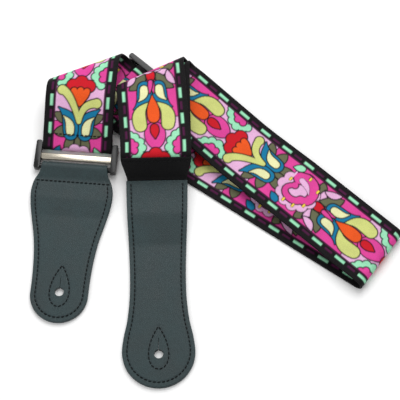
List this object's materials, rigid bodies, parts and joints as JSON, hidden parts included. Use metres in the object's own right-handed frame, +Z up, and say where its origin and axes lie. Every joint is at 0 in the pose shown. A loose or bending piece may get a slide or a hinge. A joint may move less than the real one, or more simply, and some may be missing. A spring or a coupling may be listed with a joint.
{
  "type": "guitar strap",
  "caption": "Printed webbing guitar strap lying folded, with leather button ends, a plastic end ring and a length slide.",
  "frame": {"origin": "centre of the bounding box, on the surface the strap lies on", "axes": "+Z up from the surface; the neck end's leather points along -Y; the far fold of the webbing is on +X"},
  "size_m": [0.2624, 0.2516, 0.0253],
  "materials": {
    "long_webbing": "woven polyester, printed with flowers and leaves in a black border",
    "front_webbing": "woven polyester, printed",
    "short_webbing": "woven polyester, printed",
    "neck_end_tape": "plain black woven tape",
    "neck_leather_front": "fine-grained black leather, semi-matt",
    "neck_leather_back": "fine-grained black leather, semi-matt",
    "tail_leather_front": "fine-grained black leather, semi-matt",
    "tail_leather_back": "fine-grained black leather, semi-matt",
    "ring_frame": "moulded black plastic",
    "slide_frame": "moulded black plastic",
    "ring_cross_bar": "bright nickel-plated steel",
    "neck_edge_stitch": "black polyester thread",
    "neck_button_stitch": "black polyester thread",
    "tail_edge_stitch": "black polyester thread",
    "tail_button_stitch": "black polyester thread",
    "tail_cross_stitch": "black polyester thread",
    "ring_loop_stitch": "black polyester thread",
    "slide_loop_stitch": "black polyester thread",
    "outer_hem_stitch": "black polyester thread",
    "tape_stitch": "black polyester thread"
  },
  "bodies": {
    "strap": {"long_webbing": "long_webbing", "front_webbing": "front_webbing", "short_webbing": "short_webbing", "neck_end_tape": "neck_end_tape", "neck_leather_front": "neck_leather_front", "neck_leather_back": "neck_leather_back", "neck_edge_stitch": "neck_edge_stitch", "neck_button_stitch": "neck_button_stitch", "ring_loop_stitch": "ring_loop_stitch", "outer_hem_stitch": "outer_hem_stitch", "tape_stitch": "tape_stitch"},
    "ring": {"ring_frame": "ring_frame", "ring_cross_bar": "ring_cross_bar"},
    "tail_end": {"tail_leather_front": "tail_leather_front", "tail_leather_back": "tail_leather_back", "tail_edge_stitch": "tail_edge_stitch", "tail_button_stitch": "tail_button_stitch", "tail_cross_stitch": "tail_cross_stitch"},
    "slide": {"slide_frame": "slide_frame", "slide_loop_stitch": "slide_loop_stitch"}
  },
  "joints": [
    {"name": "ring_hinge", "type": "hinge", "parent": "strap", "child": "ring", "pos_m": [-0.09923, 0.05087, 0.0037], "axis": [-0.9969, 0.0785, 0], "range_deg": [0, 50]},
    {"name": "tail_hinge", "type": "hinge", "parent": "ring", "child": "tail_end", "pos_m": [-0.10056, 0.03402, 0.0037], "axis": [-0.9969, 0.0785, 0], "range_deg": [0, 75]},
    {"name": "slide_travel", "type": "slide", "parent": "strap", "child": "slide", "axis": [0.749, -0.6626, 0], "range_m": [0, 0.007], "deforming": ["long_webbing"]}
  ]
}
